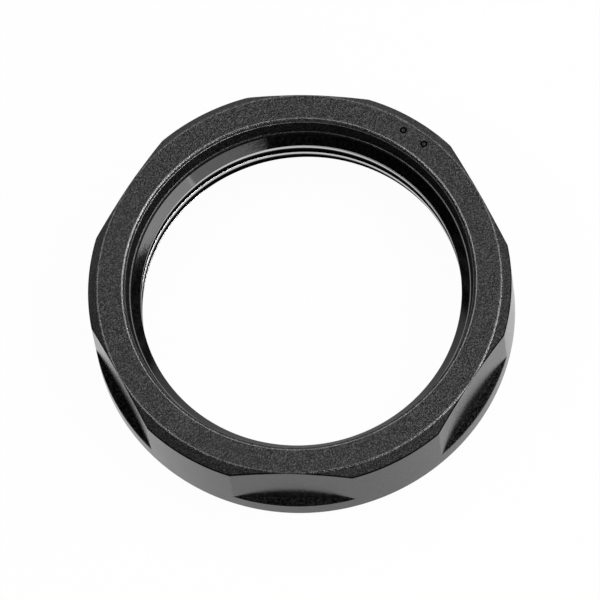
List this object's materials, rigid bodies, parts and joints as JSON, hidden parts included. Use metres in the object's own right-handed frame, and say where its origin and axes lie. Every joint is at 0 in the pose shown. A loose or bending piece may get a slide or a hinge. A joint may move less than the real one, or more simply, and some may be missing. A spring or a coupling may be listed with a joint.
{
  "type": "panel nut",
  "caption": "Round black plastic panel nut with an internal fine thread, shallow wrench flats above a full round rim and a chamfered top.",
  "frame": {"origin": "centre of the foot, on the plane that the nut stands on", "axes": "+Z along the thread's axis from the foot to the top face; one wrench flat faces -Y"},
  "size_m": [0.04, 0.04, 0.0086],
  "materials": {
    "moulded_plastic": "black moulded plastic, finely eroded on the top, chamfer and ledges, smooth on the sides and in the bore"
  },
  "bodies": {
    "root": {"nut": "moulded_plastic"}
  },
  "joints": []
}
